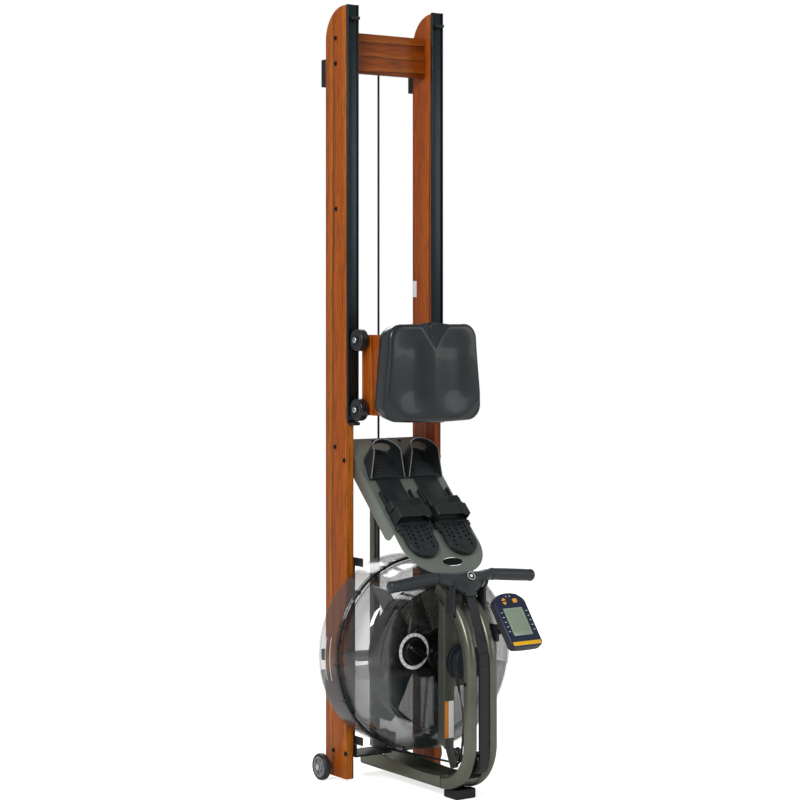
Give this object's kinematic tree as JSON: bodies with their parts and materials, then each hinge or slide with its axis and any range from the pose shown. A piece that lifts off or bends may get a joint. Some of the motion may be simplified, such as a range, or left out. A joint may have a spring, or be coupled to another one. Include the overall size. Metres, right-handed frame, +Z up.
{
  "type": "rowing machine",
  "caption": "Water-tank rowing machine with wooden rails, sliding seat, foot board, pull handle and console, standing upright on its nose foot and wheels.",
  "frame": {"origin": "middle of the machine's footprint on the floor", "axes": "+Z up along the rails; the seat, foot board and console face -Y; +X across the machine"},
  "size_m": [0.52, 0.7128, 2.09],
  "materials": {
    "rail_ash": "stained satin",
    "beam_ash": "stained satin",
    "track_black": "black anodised",
    "rubber_black": "matte",
    "steel_black": "satin powder coat",
    "steel_bright": "plated",
    "frame_bronze": "satin metallic",
    "tank_clear": "clear polycarbonate",
    "tank_smoke": "smoked polycarbonate",
    "water_clear": "clear water",
    "hub_black": "moulded",
    "belt_black": "woven webbing",
    "cord_black": "braided elastic",
    "rest_black": "moulded",
    "paddle_grey": "moulded",
    "spool_grey": "moulded",
    "handle_grey": "soft moulded",
    "grip_grey": "soft moulded",
    "case_navy": "moulded",
    "screen_green": "liquid crystal display",
    "key_orange": "satin",
    "seat_foam": "moulded skin",
    "seat_wood": "stained satin",
    "roller_black": "moulded",
    "tyre_black": "moulded tyre"
  },
  "bodies": {
    "frame": {"left_rail": "rail_ash", "right_rail": "rail_ash", "tail_beam": "beam_ash", "seat_tracks": "track_black", "rubber_feet": "rubber_black", "crossbars": "steel_black", "axle_pins": "steel_bright", "spine_tube": "frame_bronze", "base_arm": "frame_bronze", "left_frame_tube": "frame_bronze", "right_frame_tube": "frame_bronze", "inner_channel": "frame_bronze", "nose_foot": "rubber_black", "frame_bolts": "steel_black", "tank_brackets": "steel_black", "tank_rear_shell": "tank_clear", "tank_front_shell": "tank_clear", "tank_gasket": "rubber_black", "tank_bolts": "steel_black", "inner_tank": "tank_smoke", "hub_housing": "hub_black", "shaft_bearings": "steel_bright", "filler_plug": "rubber_black", "water": "water_clear", "drive_belt": "belt_black", "recoil_cord": "cord_black", "foot_board": "frame_bronze", "board_support": "hub_black", "toe_plates": "rest_black", "foot_straps": "belt_black", "handle_hooks": "steel_black", "console_arm": "steel_black"},
    "seat": {"seat_base": "seat_wood", "seat_cushion": "seat_foam", "seat_axles": "steel_bright"},
    "seat_roller_1": {"seat_roller_1": "roller_black"},
    "seat_roller_2": {"seat_roller_2": "roller_black"},
    "seat_roller_3": {"seat_roller_3": "roller_black"},
    "seat_roller_4": {"seat_roller_4": "roller_black"},
    "handle": {"handle_hub": "handle_grey", "handle_grips": "grip_grey"},
    "belt_leaf_1": {"belt_leaf_1": "belt_black"},
    "belt_leaf_2": {"belt_leaf_2": "belt_black"},
    "belt_leaf_3": {"belt_leaf_3": "belt_black"},
    "drive_spool": {"drive_spool": "spool_grey"},
    "nose_roller": {"nose_roller": "roller_black"},
    "recoil_pulley": {"recoil_pulley": "roller_black"},
    "guide_roller": {"guide_roller": "roller_black"},
    "impeller": {"impeller": "paddle_grey", "impeller_shaft": "steel_bright"},
    "adjuster_knob": {"adjuster_knob": "hub_black"},
    "left_heel_rest": {"left_heel_rest": "rest_black"},
    "right_heel_rest": {"right_heel_rest": "rest_black"},
    "console": {"console_case": "case_navy", "console_screen": "screen_green"},
    "key_up": {"key_up": "key_orange"},
    "key_down": {"key_down": "key_orange"},
    "key_set": {"key_set": "key_orange"},
    "left_wheel": {"left_wheel": "tyre_black"},
    "right_wheel": {"right_wheel": "tyre_black"}
  },
  "joints": [
    {"name": "seat_slide", "type": "slide", "parent": "frame", "child": "seat", "axis": [0, 0, 1], "range_m": [0, 0.825]},
    {"name": "roller_1_spin", "type": "hinge", "parent": "seat", "child": "seat_roller_1", "pos_m": [0, 0.1951, 1.004], "axis": [1, 0, 0], "range_deg": [-1600, 0]},
    {"name": "roller_2_spin", "type": "hinge", "parent": "seat", "child": "seat_roller_2", "pos_m": [0, 0.1951, 1.004], "axis": [1, 0, 0], "range_deg": [-1600, 0]},
    {"name": "roller_3_spin", "type": "hinge", "parent": "seat", "child": "seat_roller_3", "pos_m": [0, 0.1951, 1.19], "axis": [1, 0, 0], "range_deg": [-1600, 0]},
    {"name": "roller_4_spin", "type": "hinge", "parent": "seat", "child": "seat_roller_4", "pos_m": [0, 0.1951, 1.19], "axis": [1, 0, 0], "range_deg": [-1600, 0]},
    {"name": "handle_pull", "type": "slide", "parent": "frame", "child": "handle", "axis": [0, 0, 1], "range_m": [0, 0.86]},
    {"name": "belt_leaf_1_slide", "type": "slide", "parent": "frame", "child": "belt_leaf_1", "axis": [0, 0, 1], "range_m": [0, 0.217]},
    {"name": "belt_leaf_2_slide", "type": "slide", "parent": "frame", "child": "belt_leaf_2", "axis": [0, 0, 1], "range_m": [0, 0.432]},
    {"name": "belt_leaf_3_slide", "type": "slide", "parent": "frame", "child": "belt_leaf_3", "axis": [0, 0, 1], "range_m": [0, 0.647]},
    {"name": "spool_spin", "type": "hinge", "parent": "frame", "child": "drive_spool", "pos_m": [0, -0.0886, 0.355], "axis": [0, 1, 0], "range_deg": [-1340, 0]},
    {"name": "nose_roller_spin", "type": "hinge", "parent": "frame", "child": "nose_roller", "pos_m": [0, -0.1466, 0.105], "axis": [1, 0, 0], "range_deg": [-1770, 0]},
    {"name": "recoil_pulley_spin", "type": "hinge", "parent": "frame", "child": "recoil_pulley", "pos_m": [0, 0.2804, 0.098], "axis": [1, 0, 0], "range_deg": [-1250, 0]},
    {"name": "guide_roller_spin", "type": "hinge", "parent": "frame", "child": "guide_roller", "pos_m": [0, -0.0536, 0.108], "axis": [1, 0, 0], "range_deg": [-1590, 0]},
    {"name": "impeller_spin", "type": "hinge", "parent": "frame", "child": "impeller", "pos_m": [0, 0.0814, 0.355], "axis": [0, 1, 0], "continuous": true},
    {"name": "adjuster_turn", "type": "hinge", "parent": "frame", "child": "adjuster_knob", "pos_m": [-0.09, 0.0054, 0.378], "axis": [0, 1, 0], "range_deg": [-135, 135]},
    {"name": "left_heel_slide", "type": "slide", "parent": "frame", "child": "left_heel_rest", "axis": [0, 0.7071, 0.7071], "range_m": [-0.015, 0.03]},
    {"name": "right_heel_slide", "type": "slide", "parent": "frame", "child": "right_heel_rest", "axis": [0, 0.7071, 0.7071], "range_m": [-0.015, 0.03]},
    {"name": "console_tilt", "type": "hinge", "parent": "frame", "child": "console", "pos_m": [0, -0.2756, 0.472], "axis": [1, 0, 0], "range_deg": [-20, 20]},
    {"name": "key_up_press", "type": "slide", "parent": "console", "child": "key_up", "axis": [0, 0.7934, -0.6088], "range_m": [0, 0.001], "stiffness_N_per_m": 300, "springref_m": -0.0005},
    {"name": "key_down_press", "type": "slide", "parent": "console", "child": "key_down", "axis": [0, 0.7934, -0.6088], "range_m": [0, 0.001], "stiffness_N_per_m": 300, "springref_m": -0.0005},
    {"name": "key_set_press", "type": "slide", "parent": "console", "child": "key_set", "axis": [0, 0.7934, -0.6088], "range_m": [0, 0.001], "stiffness_N_per_m": 300, "springref_m": -0.0005},
    {"name": "left_wheel_spin", "type": "hinge", "parent": "frame", "child": "left_wheel", "pos_m": [0, 0.3104, 0.036], "axis": [1, 0, 0], "continuous": true},
    {"name": "right_wheel_spin", "type": "hinge", "parent": "frame", "child": "right_wheel", "pos_m": [0, 0.3104, 0.036], "axis": [1, 0, 0], "continuous": true}
  ],
  "couplings": [
    {"joint": "roller_1_spin", "follows": "seat_slide", "rad_per_m": -33.333},
    {"joint": "roller_2_spin", "follows": "seat_slide", "rad_per_m": -33.333},
    {"joint": "roller_3_spin", "follows": "seat_slide", "rad_per_m": -33.333},
    {"joint": "roller_4_spin", "follows": "seat_slide", "rad_per_m": -33.333},
    {"joint": "belt_leaf_1_slide", "follows": "handle_pull", "ratio": 0.25},
    {"joint": "belt_leaf_2_slide", "follows": "handle_pull", "ratio": 0.5},
    {"joint": "belt_leaf_3_slide", "follows": "handle_pull", "ratio": 0.75},
    {"joint": "spool_spin", "follows": "handle_pull", "rad_per_m": -27.03},
    {"joint": "nose_roller_spin", "follows": "handle_pull", "rad_per_m": -35.6},
    {"joint": "recoil_pulley_spin", "follows": "handle_pull", "rad_per_m": -25.1},
    {"joint": "guide_roller_spin", "follows": "handle_pull", "rad_per_m": -31.9}
  ]
}
